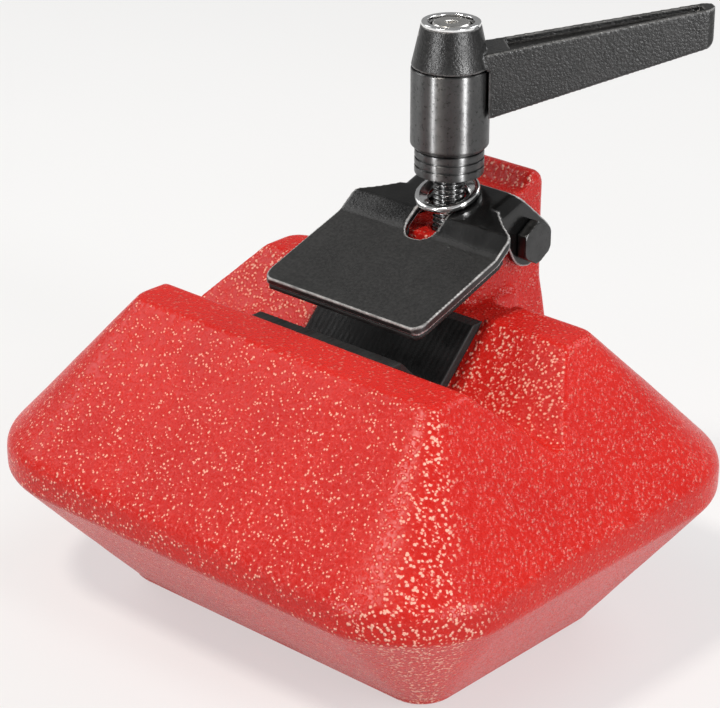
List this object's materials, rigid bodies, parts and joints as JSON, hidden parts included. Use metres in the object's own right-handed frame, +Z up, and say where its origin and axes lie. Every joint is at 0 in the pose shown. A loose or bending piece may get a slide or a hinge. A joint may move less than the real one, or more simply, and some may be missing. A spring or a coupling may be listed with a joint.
{
  "type": "clamp-on counterweight",
  "caption": "Cast counterweight with a padded V-groove and a hinged jaw that a clamping lever presses onto a stand or boom tube.",
  "frame": {"origin": "centre of the flat underside the weight rests on", "axes": "+X along the tube groove, +Y towards the hinge post at the back, +Z up; millimetres in the source, metres here"},
  "size_m": [0.154, 0.1484, 0.1448],
  "materials": {
    "red_casting": "thick textured red paint",
    "groove_rubber": "ribbed, matt",
    "zinc_steel": "zinc plated",
    "black_bolt": "black oxide",
    "nylon": "natural",
    "black_jaw": "satin black",
    "jaw_rubber": "matt",
    "bright_washer": "bright",
    "hub_steel": "polished dark",
    "black_handle": "fine textured black",
    "spring_steel": "plain"
  },
  "bodies": {
    "base": {"weight_casting": "red_casting", "groove_pad": "groove_rubber", "clamp_stud": "zinc_steel", "hinge_bolt": "black_bolt", "hinge_nut": "black_bolt", "nut_insert": "nylon", "hinge_washers": "zinc_steel"},
    "jaw": {"jaw_plate": "black_jaw", "jaw_liner": "jaw_rubber"},
    "stud_washer": {"dished_washer": "bright_washer"},
    "collar": {"thrust_collar": "hub_steel"},
    "hub": {"lever_hub": "hub_steel", "collar_ring": "spring_steel", "lever_screw": "zinc_steel"},
    "spring_seat": {"lever_washer": "spring_steel", "lever_spring": "spring_steel"},
    "handle": {"lever_handle": "black_handle", "handle_rim": "bright_washer"}
  },
  "joints": [
    {"name": "jaw_swing", "type": "hinge", "parent": "base", "child": "jaw", "pos_m": [0, 0.0445, 0.0875], "axis": [-1, 0, 0], "range_deg": [0, 30]},
    {"name": "washer_follow", "type": "slide", "parent": "jaw", "child": "stud_washer", "axis": [0, -0.9494, -0.314], "range_m": [0, 0.0077]},
    {"name": "hub_rise", "type": "slide", "parent": "base", "child": "collar", "axis": [0, 0, 1], "range_m": [0, 0.00625]},
    {"name": "lever_turn", "type": "hinge", "parent": "collar", "child": "hub", "pos_m": [0, 0.0326, 0.12], "axis": [0, 0, 1], "range_deg": [0, 1800]},
    {"name": "handle_index", "type": "hinge", "parent": "hub", "child": "spring_seat", "pos_m": [0, 0.0326, 0.137], "axis": [0, 0, 1], "continuous": true},
    {"name": "handle_lift", "type": "slide", "parent": "spring_seat", "child": "handle", "axis": [0, 0, 1], "range_m": [0, 0.002], "stiffness_N_per_m": 800, "springref_m": -0.004, "deforming": ["lever_spring"]}
  ],
  "couplings": [
    {"joint": "lever_turn", "follows": "hub_rise", "rad_per_m": 5026.5},
    {"joint": "jaw_swing", "follows": "hub_rise", "rad_per_m": 83.77},
    {"joint": "washer_follow", "follows": "hub_rise", "ratio": 1.228}
  ]
}
